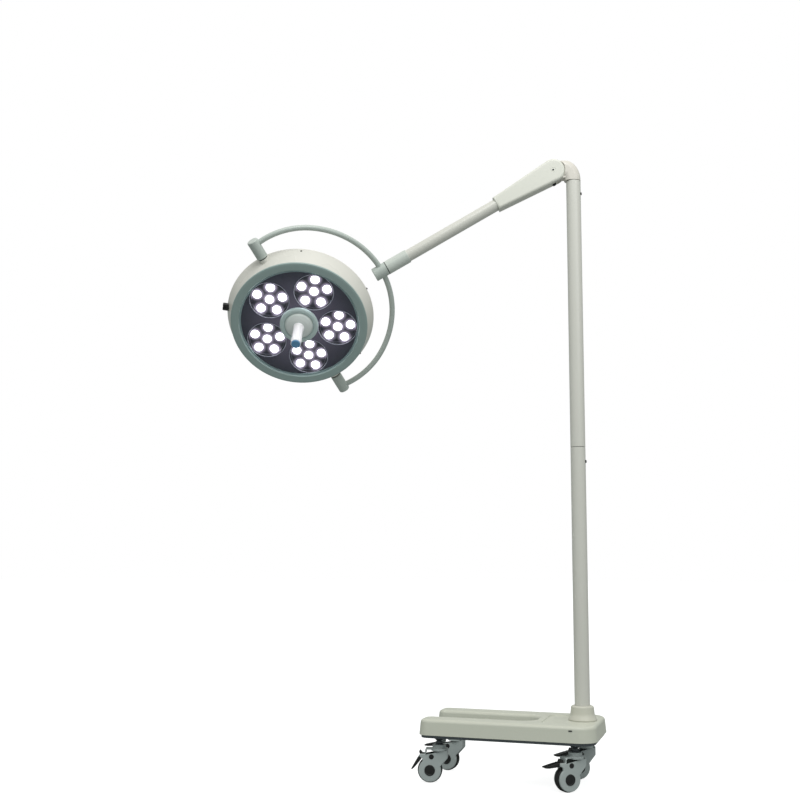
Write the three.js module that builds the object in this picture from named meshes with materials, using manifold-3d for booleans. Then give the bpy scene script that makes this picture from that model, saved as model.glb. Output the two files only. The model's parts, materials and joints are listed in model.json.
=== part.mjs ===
// Mobile LED surgical light: a wheeled U-shaped base, a two-piece pole, a spring-balanced arm,
// a half-ring yoke and a round lamp head with five LED lens modules.
// Millimetres, +Z up. The legs of the base point to -X; the origin is the middle of the
// bounding box on the floor. The rest pose has the arm lowered and the head looking down.
import * as THREE from 'three';
import { mergeVertices } from 'three/addons/utils/BufferGeometryUtils.js';
import Module from 'manifold-3d';

const wasm = await Module();
wasm.setup();

const GAP = 0.3;            // clearance between pieces that touch
const DEG = Math.PI / 180;
const WHEEL_SIDES = 24;     // each wheel stands on one of its flats

// ---- driving dimensions -------------------------------------------------------------------
const base = {
  xLeft: -476, xRight: 58, halfWidth: 150, gapHalf: 62, gapRoot: -140,
  cornerR: 56, legR: 30, rootR: 46, bottomZ: 143, topZ: 189, wall: 3, roof: 9,
  deckDepth: 4, deckHalf: 92, deckLeft: -112, deckRight: -46,
};
const chassis = { inset: 6, thick: 8.5 };
const pole = { r: 23, wall: 2.5, footZ: 147, seamZ: 1014.5, topZ: 1875 };
const collar = { topR: 33.5, bottomR: 43, height: 43 };
const arm = {
  heading: 191.05, pivotOut: 64.3, pivotZ: 1908.8, pitch: 29.5,
  tubeR: 19.4, tubeWall: 2.4, coverEnd: 212.4, hubAt: 639.1,
  cheekR: 38, coverWidth: 47, barrelR: 34.4, barrelWidth: 34,
};
const sleeve = { r: 22.4, length: 79 };
const yoke = {
  hubR: 22, hubFront: 28, hubBack: 18, tubeR: 8.8, roll: -39.26,
  arcR: 303, arcShift: 4.3, straightFrom: 55, endDrop: 13,
};
const head = {
  centreAt: 307.3, tilt: -14.75, rimR: 240.8, rimZ: -16.4, lipR: 221, lipZ: 40,
  backZ: -76, wall: 3, glassR: 192.1, glassZ: 45.6, bezelR: 218.6, bezelZ: 47.2,
  moduleRing: 124.5, moduleR: 60, modulePhase: 2.85, ledRing: 42.7, ledPhase: 20.4, ledR: 15.5,
  ringR: 62, handleR: 16.5, tipZ: 172, knobAngle: 324,
};
const block = { r: 18, inner: 243.5, outer: 307.4 };
const caster = {
  wheelR: 37.5, wheelWidth: 24, trail: 28, plateWidth: 38, slotWidth: 26.4, topZ: 100,
  neckR: 20, neckTop: 112, stemR: 5, axleR: 6, capR: 16,
  pedalX: -52, pedalZ: 80, pedalHubR: 4.8, pedalLength: 52,
};
const casters = [
  { name: 'front_near', x: -420, y: -100, yaw: 12, pedal: 52 },
  { name: 'front_far', x: -420, y: 100, yaw: -2, pedal: 6 },
  { name: 'rear_near', x: -8, y: -100, yaw: 38, pedal: 6 },
  { name: 'rear_far', x: -8, y: 100, yaw: 36, pedal: 6 },
];

// ---- materials ----------------------------------------------------------------------------
const finish = (hex, roughness, metalness = 0) =>
  new THREE.MeshStandardMaterial({ color: hex, roughness, metalness });
const paint = {
  cover: finish(0xc3c6ba, 0.45), tube: finish(0xd0cfc8, 0.35), arm: finish(0xd9dccf, 0.4),
  shell: finish(0xe2e3dc, 0.4), bezel: finish(0xb9c1b6, 0.4), glass: finish(0x10141c, 0.08),
  lens: finish(0xf2f4ff, 0.15), mint: finish(0xa9bdb2, 0.4), white: finish(0xe9e9e6, 0.4),
  blue: finish(0x3c6ea0, 0.4), black: finish(0x141414, 0.5), rubber: finish(0x0c0c0c, 0.8),
  housing: finish(0x8d9797, 0.5), steel: finish(0x4a4d4f, 0.4, 0.9), iron: finish(0x3a3a3a, 0.7, 0.6),
  zinc: finish(0xb4b8ba, 0.3, 1),
};

// ---- solid helpers ------------------------------------------------------------------------
function toSolid(geometry) {
  const bare = geometry.clone();
  for (const key of Object.keys(bare.attributes)) if (key !== 'position') bare.deleteAttribute(key);
  const merged = mergeVertices(bare, 1e-4);
  return new wasm.Manifold(new wasm.Mesh({
    numProp: 3,
    vertProperties: new Float32Array(merged.attributes.position.array),
    triVerts: new Uint32Array(merged.index.array),
  }));
}

function toGeometry(solid) {
  const mesh = solid.getMesh();
  const geometry = new THREE.BufferGeometry();
  geometry.setAttribute('position', new THREE.BufferAttribute(new Float32Array(mesh.vertProperties), 3));
  geometry.setIndex(new THREE.BufferAttribute(new Uint32Array(mesh.triVerts), 1));
  geometry.computeVertexNormals();
  return geometry;
}

const cut = (target, ...tools) =>
  toGeometry(tools.reduce((solid, tool) => solid.subtract(toSolid(tool)), toSolid(target)));
const join = (first, ...rest) =>
  toGeometry(rest.reduce((solid, tool) => solid.add(toSolid(tool)), toSolid(first)));
const move = (geometry, x, y, z) => geometry.clone().translate(x, y, z);
const box = (x0, x1, y0, y1, z0, z1) =>
  new THREE.BoxGeometry(x1 - x0, y1 - y0, z1 - z0).translate((x0 + x1) / 2, (y0 + y1) / 2, (z0 + z1) / 2);

// Turned piece about Z from [radius, z] points; the profile runs anticlockwise seen with z up.
function turned(points, segments = 32) {
  return new THREE.LatheGeometry(points.map(([r, z]) => new THREE.Vector2(r, z)), segments)
    .rotateX(Math.PI / 2);
}

const rod = (r, z0, z1, segments = 28) => turned([[0, z0], [r, z0], [r, z1], [0, z1]], segments);
const tube = (r, inner, z0, z1, segments = 32) =>
  turned([[inner, z0], [r, z0], [r, z1], [inner, z1], [inner, z0]], segments);

// Outline in X-Z pushed out along Y, centred on y = 0.
function plate(shape, width, curveSegments = 10) {
  return new THREE.ExtrudeGeometry(shape, { depth: width, bevelEnabled: false, curveSegments })
    .rotateX(Math.PI / 2).translate(0, width / 2, 0);
}

// Closed outline through corner points [x, y, radius]; every corner gets the same point count.
function rounded(corners, steps = 4) {
  const points = [];
  corners.forEach(([x, y, radius], i) => {
    const before = corners[(i + corners.length - 1) % corners.length];
    const after = corners[(i + 1) % corners.length];
    const corner = new THREE.Vector2(x, y);
    const inDir = new THREE.Vector2(before[0] - x, before[1] - y).normalize();
    const outDir = new THREE.Vector2(after[0] - x, after[1] - y).normalize();
    const half = inDir.angleTo(outDir) / 2;
    const run = radius / Math.tan(half);
    const middle = inDir.clone().add(outDir).normalize().multiplyScalar(radius / Math.sin(half)).add(corner);
    const from = corner.clone().addScaledVector(inDir, run).sub(middle);
    const to = corner.clone().addScaledVector(outDir, run).sub(middle);
    const turn = Math.atan2(from.cross(to), from.dot(to));
    for (let k = 0; k <= steps; k += 1) {
      points.push(from.clone().rotateAround(new THREE.Vector2(), turn * k / steps).add(middle));
    }
  });
  return points;
}

// Closed solid skinned over rings of equal point count; the first and last rings are capped,
// or joined to each other when the skin closes on itself.
function skin(rings, closed = false) {
  const count = rings[0].points.length;
  const positions = rings.flatMap(({ points, z }) => points.flatMap((p) => [p.x, p.y, z]));
  const index = [];
  const links = closed ? rings.length : rings.length - 1;
  for (let j = 0; j < links; j += 1) {
    const low = j * count;
    const high = ((j + 1) % rings.length) * count;
    for (let i = 0; i < count; i += 1) {
      const next = (i + 1) % count;
      index.push(low + i, low + next, high + next, low + i, high + next, high + i);
    }
  }
  if (!closed) {
    const last = (rings.length - 1) * count;
    for (const [a, b, c] of THREE.ShapeUtils.triangulateShape(rings[0].points, [])) index.push(a, c, b);
    for (const [a, b, c] of THREE.ShapeUtils.triangulateShape(rings.at(-1).points, [])) {
      index.push(last + a, last + b, last + c);
    }
  }
  const geometry = new THREE.BufferGeometry();
  geometry.setAttribute('position', new THREE.Float32BufferAttribute(positions, 3));
  geometry.setIndex(index);
  return geometry;
}

function add(parent, name, geometry, material) {
  const mesh = new THREE.Mesh(geometry, material);
  mesh.name = name;
  parent.add(mesh);
  return mesh;
}

function group(parent, { at = [0, 0, 0], turn = [0, 0, 0] } = {}) {
  const node = new THREE.Group();
  node.position.set(...at);
  node.rotation.set(...turn.map((angle) => angle * DEG));
  parent.add(node);
  return node;
}

// ---- base ---------------------------------------------------------------------------------
// Plan of the U: the outline moved inwards by inset.
function basePlan(inset) {
  const outer = base.halfWidth - inset;
  const gap = base.gapHalf + inset;
  const left = base.xLeft + inset;
  const right = base.xRight - inset;
  const root = base.gapRoot + inset;
  const convex = Math.max(base.cornerR - inset, 4);
  const leg = Math.max(base.legR - inset, 4);
  const concave = base.rootR + inset;
  return rounded([
    [right, -outer, convex], [right, outer, convex], [left, outer, leg], [left, gap, leg],
    [root, gap, concave], [root, -gap, concave], [left, -gap, leg], [left, -outer, leg],
  ]);
}

function baseCover(root) {
  const { bottomZ, topZ, wall, roof } = base;
  const outside = [[0, bottomZ], [4, topZ - 11], [5.5, topZ - 5], [9, topZ - 1.5], [14, topZ]];
  const inside = [[wall, bottomZ], [wall + 4, topZ - roof - 3], [wall + 7, topZ - roof]];
  const rings = (list) => list.map(([inset, z]) => ({ points: basePlan(inset), z }));
  const cavity = skin(rings([[wall, bottomZ - 1], ...inside]));
  const deck = rounded([
    [base.deckRight, -base.deckHalf, 20], [base.deckRight, base.deckHalf, 20],
    [base.deckLeft, base.deckHalf, 20], [base.deckLeft, -base.deckHalf, 20],
  ]);
  const recess = skin([{ points: deck, z: topZ - base.deckDepth }, { points: deck, z: topZ + 5 }]);
  const poleHole = rod(pole.r + 1, bottomZ, topZ + 5);
  const inletHole = box(-86, -54, 120, 160, 150, 174);
  add(root, 'base_cover', cut(skin(rings(outside)), cavity, recess, poleHole, inletHole), paint.cover);
}

function baseInsides(root) {
  const top = base.bottomZ - GAP;
  const bottom = top - chassis.thick;
  const plan = (z) => ({ points: basePlan(chassis.inset), z });
  const frame = skin([plan(bottom), plan(top)]);
  add(root, 'base_chassis', frame, paint.steel);
  const floor = base.bottomZ;
  const socket = join(tube(30, pole.r + GAP, floor + 4, 176, 24), tube(44, pole.r + GAP, floor, floor + 5, 24));
  add(root, 'pole_socket', socket, paint.steel);
  add(root, 'counterweight', box(-132, -50, -112, 112, floor, 174), paint.iron);
  add(root, 'power_supply', box(-340, -200, -134, -84, floor, 172), paint.zinc);
  const inlet = cut(
    join(box(-85.5, -54.5, 125, 151, 151, 173.5), box(-89, -51, 150.3, 153, 148, 176.5)),
    box(-82, -58, 132, 155, 154, 170.5),
  );
  add(root, 'mains_inlet', inlet, paint.black);
}

// ---- pole ---------------------------------------------------------------------------------
function poles(root) {
  const { r, wall, footZ, seamZ, topZ } = pole;
  const deckZ = base.topZ + GAP;
  const skirt = turned([
    [r + GAP, deckZ], [collar.bottomR, deckZ], [collar.bottomR, deckZ + 3],
    [collar.topR, deckZ + collar.height - 3], [collar.topR - 3, deckZ + collar.height],
    [r + GAP, deckZ + collar.height], [r + GAP, deckZ],
  ], 32);
  add(root, 'pole_collar', skirt, paint.arm);
  const screwHole = (z) => rod(3.2, 0, r + 5, 10).rotateY(90 * DEG).translate(0, 0, z);
  const lowerScrewZ = 969.5;
  const upperScrewZ = 1831.7;
  const lower = tube(r, r - wall, footZ, seamZ - GAP, 32);
  add(root, 'lower_pole', cut(lower, screwHole(lowerScrewZ)), paint.tube);
  add(root, 'upper_pole', cut(tube(r, r - wall, seamZ, topZ - GAP, 32), screwHole(upperScrewZ)), paint.tube);
  const sleeveR = r - wall - GAP;
  const joint = tube(sleeveR, sleeveR - 3, seamZ - 100, seamZ + 100, 24);
  add(root, 'pole_joint_sleeve', cut(joint, screwHole(lowerScrewZ)), paint.steel);
  const screw = (z, from) => turned([
    [0, from], [2.8, from], [2.8, r + 0.4], [5, r + 0.4], [5, r + 3], [0, r + 3],
  ], 10).rotateY(90 * DEG).translate(0, 0, z);
  add(root, 'lower_pole_screw', screw(lowerScrewZ, sleeveR - 3), paint.black);
  add(root, 'upper_pole_screw', screw(upperScrewZ, r - wall - 1), paint.black);
}

// ---- casters ------------------------------------------------------------------------------
// Local frame: swivel axis on Z through the origin, the wheel trails towards -X.
function casterSideShape() {
  const { wheelR, trail, topZ } = caster;
  const discR = 34;
  const shape = new THREE.Shape();
  shape.moveTo(26, topZ);
  shape.lineTo(-42, topZ);
  shape.lineTo(-42, 85);
  shape.lineTo(-59, 85);
  shape.lineTo(-59, 75);
  shape.quadraticCurveTo(-48, 73, -trail - discR * Math.cos(50 * DEG), wheelR + discR * Math.sin(50 * DEG));
  shape.absarc(-trail, wheelR, discR, 130 * DEG, 380 * DEG, false);
  shape.lineTo(26, 73);
  shape.closePath();
  return shape;
}

function casterHousing() {
  const { wheelR, trail, plateWidth, slotWidth, topZ, neckR, neckTop, stemR, axleR, pedalX, pedalZ } = caster;
  const body = plate(casterSideShape(), plateWidth, 5);
  const crown = turned([
    [0, topZ - 6], [neckR + 5, topZ - 6], [neckR + 5, topZ + 1], [neckR, topZ + 4],
    [neckR, neckTop], [0, neckTop],
  ], 14);
  const wheelRoom = rod(wheelR + 2.5, -slotWidth / 2, slotWidth / 2, 18)
    .rotateX(90 * DEG).translate(-trail, 0, wheelR);
  const half = slotWidth / 2;
  const below = box(-trail - wheelR - 2.5, -trail + wheelR + 2.5, -half, half, -5, wheelR);
  const pedalRoom = box(-80, -41, -half, half, wheelR, topZ + 5);
  const axleBore = rod(axleR + GAP, -30, 30, 12).rotateX(90 * DEG).translate(-trail, 0, wheelR);
  const pinBore = rod(3 + GAP, -30, 30, 10).rotateX(90 * DEG).translate(pedalX, 0, pedalZ);
  const stemBore = rod(stemR + GAP, 84, neckTop + 5, 12);
  return cut(join(body, crown), wheelRoom, below, pedalRoom, axleBore, pinBore, stemBore);
}

function casterWheel() {
  const { wheelR, wheelWidth, axleR, trail } = caster;
  const w = wheelWidth / 2;
  return turned([
    [axleR + GAP, -w], [wheelR - 3, -w], [wheelR, -w + 4], [wheelR, w - 4], [wheelR - 3, w],
    [axleR + GAP, w], [axleR + GAP, -w],
  ], WHEEL_SIDES).rotateZ(180 * DEG / WHEEL_SIDES).rotateX(90 * DEG).translate(-trail, 0, wheelR);
}

function casterAxle() {
  const { axleR, capR, plateWidth, trail, wheelR } = caster;
  const face = plateWidth / 2 + GAP;
  return turned([
    [0, -face - 2], [capR, -face - 2], [capR, -face], [axleR, -face],
    [axleR, face], [capR, face], [capR, face + 2], [0, face + 2],
  ], 16).rotateX(90 * DEG).translate(-trail, 0, wheelR);
}

function casterStem() {
  const { stemR, neckTop } = caster;
  const top = base.bottomZ - GAP - chassis.thick - GAP;
  return turned([
    [0, 85], [stemR, 85], [stemR, neckTop + GAP], [12, neckTop + GAP], [12, neckTop + 3],
    [7, neckTop + 8], [16.5, top - 3], [16.5, top], [0, top],
  ], 12);
}

// Brake pedal: hub, blade with its tip turned down from level by angle, and a release tab.
function casterPedal(angle) {
  const { pedalLength, pedalX, pedalZ, pedalHubR, slotWidth } = caster;
  const blade = new THREE.Shape();
  blade.moveTo(0, -pedalHubR);
  blade.absarc(0, 0, pedalHubR, -90 * DEG, 20 * DEG, false);
  blade.lineTo(7, 13);
  blade.lineTo(3, 14.5);
  blade.lineTo(-1, 5.5);
  blade.lineTo(-18, 4.6);
  blade.lineTo(-pedalLength, 1.4);
  blade.lineTo(-pedalLength, -1.8);
  blade.lineTo(-16, -2.8);
  blade.closePath();
  const pin = rod(3, -caster.plateWidth / 2, caster.plateWidth / 2, 10).rotateX(90 * DEG);
  return join(plate(blade, slotWidth - 2, 4), pin).rotateY(-angle * DEG).translate(pedalX, 0, pedalZ);
}

function casterSet(root) {
  for (const spec of casters) {
    const fixed = group(root, { at: [spec.x, spec.y, 0] });
    const swivel = group(root, { at: [spec.x, spec.y, 0], turn: [0, 0, spec.yaw] });
    add(fixed, `${spec.name}_stem`, casterStem(), paint.steel);
    add(swivel, `${spec.name}_housing`, casterHousing(), paint.housing);
    add(swivel, `${spec.name}_wheel`, casterWheel(), paint.rubber);
    add(swivel, `${spec.name}_axle`, casterAxle(), paint.black);
    add(swivel, `${spec.name}_pedal`, casterPedal(spec.pedal), paint.black);
  }
}

// ---- swivel and arm -----------------------------------------------------------------------
// Swivel frame: origin on the pole axis at floor level, +X towards the lamp head.
function elbow(swivel) {
  const { r, topZ } = pole;
  const { pivotOut, pivotZ, cheekR, barrelR, barrelWidth } = arm;
  const bendOut = 51;                    // half axes of the rounded back of the elbow
  const bendUp = 66;
  const endX = 38;
  const centreX = bendOut - r;
  const centreZ = topZ + 4;
  const shape = new THREE.Shape();
  shape.moveTo(r, topZ + GAP);
  shape.lineTo(-r, topZ + GAP);
  shape.lineTo(-r, centreZ);
  shape.absellipse(centreX, centreZ, bendOut, bendUp, 180 * DEG, 88 * DEG, true);
  shape.lineTo(endX, centreZ + bendUp - 4);
  shape.lineTo(endX, topZ + 10);
  shape.lineTo(r + 4, topZ + 7);
  shape.closePath();
  const body = plate(shape, 2 * r - 0.6, 9);
  const barrel = rod(barrelR, -barrelWidth / 2, barrelWidth / 2, 32)
    .rotateX(90 * DEG).translate(pivotOut, 0, pivotZ);
  const armRoom = rod(cheekR + 0.6, -30, 30, 40).rotateX(90 * DEG).translate(pivotOut, 0, pivotZ);
  const neckArea = box(0, pivotOut, -barrelWidth / 2, barrelWidth / 2, pivotZ - 26, pivotZ + 20);
  const spigotR = r - pole.wall - GAP;
  const spigot = rod(spigotR, topZ - 38, topZ + 5, 24);
  const pinBore = rod(5.4, -40, 40, 14).rotateX(90 * DEG).translate(pivotOut, 0, pivotZ);
  const shell = toSolid(body).subtract(toSolid(armRoom)).add(toSolid(barrel))
    .add(toSolid(neckArea)).add(toSolid(spigot)).subtract(toSolid(pinBore));
  add(swivel, 'elbow', toGeometry(shell), paint.tube);
  const pin = rod(5.1, -arm.coverWidth / 2 + 0.5, arm.coverWidth / 2 - 0.5, 14);
  add(swivel, 'arm_pivot_pin', pin.rotateX(90 * DEG).translate(pivotOut, 0, pivotZ), paint.zinc);
}

// Arm frame: origin on the pivot axis, +X runs down the arm tube, +Z is its upper side.
function armCover(frame) {
  const { cheekR, coverWidth, coverEnd, barrelR, barrelWidth, tubeR } = arm;
  const endHalf = tubeR + 2.2;
  const shape = new THREE.Shape();
  shape.moveTo(coverEnd, endHalf);
  shape.lineTo(10, cheekR - 1.4);
  shape.absarc(0, 0, cheekR, 76 * DEG, 286 * DEG, false);
  shape.lineTo(coverEnd, -endHalf);
  shape.closePath();
  const body = plate(shape, coverWidth, 10);
  const across = (r, segments) => rod(r, -40, 40, segments).rotateX(90 * DEG);
  const room = rod(barrelR + 0.6, -barrelWidth / 2 - GAP, barrelWidth / 2 + GAP, 32).rotateX(90 * DEG);
  const mouth = box(-60, 6, -barrelWidth / 2 - GAP, barrelWidth / 2 + GAP, -60, 70);
  const bore = rod(tubeR - 2, 20, 150, 20).rotateY(90 * DEG);
  const seat = rod(tubeR + GAP, 146, coverEnd + 5, 24).rotateY(90 * DEG);
  add(frame, 'arm_cover', cut(body, room, mouth, bore, seat, across(5.4, 14)), paint.arm);
}

class Helix extends THREE.Curve {
  constructor(radius, length, turns) {
    super();
    Object.assign(this, { radius, length, turns });
  }

  getPoint(t, target = new THREE.Vector3()) {
    const angle = 2 * Math.PI * this.turns * t;
    return target.set(this.length * t, this.radius * Math.cos(angle), this.radius * Math.sin(angle));
  }
}

function armParts(frame) {
  const { tubeR, tubeWall, hubAt } = arm;
  const inner = tubeR - tubeWall;
  const end = hubAt - yoke.hubBack - GAP;
  armCover(frame);
  const main = tube(tubeR, inner, 152, end - sleeve.length + 40, 28).rotateY(90 * DEG);
  add(frame, 'arm_tube', main, paint.tube);
  const collarEnd = turned([
    [tubeR + GAP, end - sleeve.length], [sleeve.r - 1, end - sleeve.length],
    [sleeve.r, end - sleeve.length + 1], [sleeve.r, end], [8.3, end],
    [8.3, end - 30], [tubeR + GAP, end - 30], [tubeR + GAP, end - sleeve.length],
  ], 24).rotateY(90 * DEG);
  add(frame, 'arm_end_sleeve', collarEnd, paint.tube);
  const wire = new THREE.Shape().absarc(0, 0, 2, 0, 2 * Math.PI, false);
  const coil = new Helix(12, 220, 7);
  const spring = new THREE.ExtrudeGeometry(wire, {
    extrudePath: coil, steps: 49, curveSegments: 2, bevelEnabled: false,
  });
  add(frame, 'balance_spring', spring.translate(170, 0, 0), paint.steel);
}

// ---- yoke ---------------------------------------------------------------------------------
// Yoke frame: origin where the ring tube crosses the arm axis, +X towards the lamp head,
// the head's pivot axis runs along Z through x = head.centreAt.
function yokeParts(frame) {
  const { hubR, hubFront, hubBack, tubeR, arcR, arcShift, straightFrom, endDrop } = yoke;
  const hub = turned([
    [0, -hubBack], [hubR, -hubBack], [hubR, hubFront - 1.5], [hubR - 1.5, hubFront], [0, hubFront],
  ], 24);
  const shank = rod(8, -hubBack - 24, -hubBack + 2, 16);
  add(frame, 'yoke_hub', join(hub, shank).rotateY(90 * DEG), paint.tube);
  const centre = new THREE.Vector3(head.centreAt - arcShift, 0, 0);
  const hubRoom = rod(hubR + GAP, -60, 60, 24).rotateY(90 * DEG);
  const section = new THREE.Shape().absarc(0, 0, tubeR, 0, 2 * Math.PI, false);
  for (const side of [1, -1]) {
    const points = [];
    for (let k = 0; k <= 12; k += 1) {
      const degrees = 90 * k / 12;
      const flatter = Math.max(0, (degrees - straightFrom) / (90 - straightFrom));
      const radius = arcR - endDrop * flatter ** 2;
      const angle = side * degrees * DEG;
      points.push(new THREE.Vector3(-radius * Math.cos(angle), 0, radius * Math.sin(angle)).add(centre));
    }
    const path = new THREE.CatmullRomCurve3(points);
    const arc = new THREE.ExtrudeGeometry(section, {
      extrudePath: path, steps: 16, curveSegments: 5, bevelEnabled: false,
    });
    const blockRoom = rod(block.r + GAP, side > 0 ? 200 : -340, side > 0 ? 340 : -200, 20)
      .translate(head.centreAt, 0, 0);
    add(frame, side > 0 ? 'yoke_upper' : 'yoke_lower', cut(arc, hubRoom, blockRoom), paint.tube);
    const turnOver = side > 0 ? 0 : 180 * DEG;
    const body = turned([
      [6.3, block.inner], [block.r, block.inner], [block.r, block.outer],
      [0, block.outer], [0, block.outer - 8], [6.3, block.outer - 8], [6.3, block.inner],
    ], 20).rotateX(turnOver).translate(head.centreAt, 0, 0);
    add(frame, side > 0 ? 'pivot_block_upper' : 'pivot_block_lower', body, paint.tube);
  }
}

// ---- lamp head ----------------------------------------------------------------------------
// Head frame: origin on the pivot axis, +Z is the way the light points, pivots along Y.
function lensModule() {
  const { moduleR, ledRing, ledPhase, ledR } = head;
  const body = turned([
    [0, 20], [moduleR, 20], [moduleR, 34], [moduleR - 2, 34], [moduleR - 4, 29.3], [0, 29.3],
  ], 20);
  const lens = turned([[0, 24], [ledR, 24], [ledR, 32], [0, 36.5]], 8);
  const around = [0, 1, 2, 3, 4].map((k) => {
    const angle = (ledPhase + 72 * k) * DEG;
    return move(lens, (ledRing - 1.5) * Math.cos(angle), (ledRing - 1.5) * Math.sin(angle), 0);
  });
  return join(body, lens, ...around);
}

function headParts(frame) {
  const { rimR, rimZ, lipR, lipZ, backZ, wall, glassR, glassZ, bezelR, bezelZ, ringR, tipZ } = head;
  const shell = turned([
    [0, backZ], [90, backZ + 2], [165, backZ + 13], [217, backZ + 33], [rimR, rimZ],
    [rimR - 2, rimZ + 10], [lipR, lipZ], [lipR - wall, lipZ], [rimR - 2 - wall, rimZ + 9],
    [rimR - wall - 1, rimZ], [214, backZ + 36], [163, backZ + 16], [90, backZ + 5], [0, backZ + 3],
  ], 36);
  const pinBore = rod(6.3, -260, 260, 14).rotateX(90 * DEG);
  add(frame, 'head_back_shell', cut(shell, pinBore), paint.shell);
  const seatZ = glassZ - 3.6;
  const bezel = turned([
    [glassR - 4, seatZ - 3], [lipR - wall - 1, seatZ - 3], [lipR - wall - 1, lipZ + GAP],
    [lipR, lipZ + GAP], [lipR, bezelZ - 4], [bezelR, bezelZ], [glassR + 3, bezelZ],
    [glassR + 0.5, seatZ], [glassR - 4, seatZ], [glassR - 4, seatZ - 3],
  ], 36);
  add(frame, 'front_bezel', bezel, paint.bezel);
  add(frame, 'front_glass', tube(glassR, ringR + GAP, seatZ + GAP, glassZ, 36), paint.glass);
  add(frame, 'led_plate', tube(188, 30, 12, 19.4, 24), paint.zinc);
  for (let k = 0; k < 5; k += 1) {
    const angle = (head.modulePhase + 72 * k) * DEG;
    const place = group(frame, {
      at: [head.moduleRing * Math.cos(angle), head.moduleRing * Math.sin(angle), 0],
    });
    add(place, `lens_module_${k + 1}`, lensModule(), paint.lens);
  }
  add(frame, 'centre_ring', turned([
    [46, 42], [ringR, 42], [ringR, 50], [ringR - 4, 53.5], [50, 53.5], [46, 50], [46, 42],
  ], 24), paint.mint);
  const { handleR } = head;
  add(frame, 'handle_socket', turned([
    [0, 19.8], [29, 19.8], [29, 40], [45.6, 43], [45.6, 50], [42, 56], [30, 61],
    [12, 63], [12, 82], [0, 82],
  ], 20), paint.mint);
  add(frame, 'handle_grip', turned([
    [12.4, 63.3], [handleR + 1.5, 63.3], [handleR + 1.5, 70], [handleR - 1, 76],
    [handleR, 130], [handleR, tipZ - 6], [11, tipZ - 6], [11, tipZ - 14],
    [0, tipZ - 14], [0, 82.3], [12.4, 82.3], [12.4, 63.3],
  ], 16), paint.white);
  add(frame, 'handle_cap', turned([
    [0, tipZ - 13.7], [10.7, tipZ - 13.7], [10.7, tipZ - 5.7], [14, tipZ - 5.7], [14, tipZ - 1.5],
    [12.5, tipZ], [0, tipZ],
  ], 14), paint.blue);
  for (const side of [1, -1]) {
    const pin = turned([
      [0, 214], [11, 214], [11, 226], [6, 226], [6, block.outer - 8.3], [0, block.outer - 8.3],
    ], 14).rotateX(-side * 90 * DEG);
    add(frame, side > 0 ? 'pivot_pin_lower' : 'pivot_pin_upper', pin, paint.zinc);
  }
  const knob = group(frame, { at: [0, 0, -2], turn: [0, 0, head.knobAngle] });
  const lobes = new THREE.Shape();
  lobes.moveTo(-5, -12);
  lobes.lineTo(5, -12);
  lobes.absarc(0, 9, 9, -30 * DEG, 210 * DEG, false);
  lobes.closePath();
  const grip = new THREE.ExtrudeGeometry(lobes, { depth: 12, bevelEnabled: false, curveSegments: 8 });
  add(knob, 'control_knob', grip.rotateY(90 * DEG).translate(rimR + 1, 0, 0), paint.black);
}

// ---- assembly -----------------------------------------------------------------------------
const lamp = new THREE.Group();
const whole = group(lamp);
baseCover(whole);
baseInsides(whole);
poles(whole);
casterSet(whole);
const swivelFrame = group(whole, { turn: [0, 0, arm.heading] });
elbow(swivelFrame);
const armFrame = group(swivelFrame, { at: [arm.pivotOut, 0, arm.pivotZ], turn: [0, arm.pitch, 0] });
armParts(armFrame);
const yokeFrame = group(armFrame, { at: [arm.hubAt, 0, 0], turn: [yoke.roll, 0, 0] });
yokeParts(yokeFrame);
const tiltFrame = group(yokeFrame, { at: [head.centreAt, 0, 0], turn: [0, 0, head.tilt] });
const headFrame = group(tiltFrame, { turn: [-90, 0, 0] });
headParts(headFrame);

lamp.updateMatrixWorld(true);
const bounds = new THREE.Box3().setFromObject(lamp, true);
whole.position.set(-(bounds.min.x + bounds.max.x) / 2, -(bounds.min.y + bounds.max.y) / 2, -bounds.min.z);

export default lamp;
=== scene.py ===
"""Mobile LED surgical light: its detailed pieces, finishes, lights and camera.

Every piece is built in millimetres in the frame of the body that it rides on, and those frames
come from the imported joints. Shapes are turned, swept or stacked in mesh code with rounded edges.
"""
import json
import math

import bmesh
import bpy
from mathutils import Matrix, Vector
from mathutils.geometry import tessellate_polygon


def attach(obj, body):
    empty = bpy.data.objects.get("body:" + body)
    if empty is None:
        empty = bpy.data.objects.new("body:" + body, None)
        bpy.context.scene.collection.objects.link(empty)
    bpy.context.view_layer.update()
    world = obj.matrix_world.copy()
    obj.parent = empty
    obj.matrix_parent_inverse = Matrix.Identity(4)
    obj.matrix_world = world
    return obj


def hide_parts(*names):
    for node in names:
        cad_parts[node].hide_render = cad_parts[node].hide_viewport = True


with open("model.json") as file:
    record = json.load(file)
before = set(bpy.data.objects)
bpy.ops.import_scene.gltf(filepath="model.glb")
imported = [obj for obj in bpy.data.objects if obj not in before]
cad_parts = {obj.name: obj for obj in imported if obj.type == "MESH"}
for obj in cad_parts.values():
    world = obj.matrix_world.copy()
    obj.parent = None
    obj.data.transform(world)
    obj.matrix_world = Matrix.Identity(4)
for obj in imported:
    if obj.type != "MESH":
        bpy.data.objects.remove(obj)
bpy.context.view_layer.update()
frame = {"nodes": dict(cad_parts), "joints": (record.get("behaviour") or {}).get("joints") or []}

MM = 0.001
UP = Vector((0, 0, 1))
FINE = 128          # sides of a large turned piece
MEDIUM = 64         # sides of a tube or a block
SMALL = 32          # sides of a screw, cap or lens
CASTERS = ("front_near", "front_far", "rear_near", "rear_far")

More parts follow.
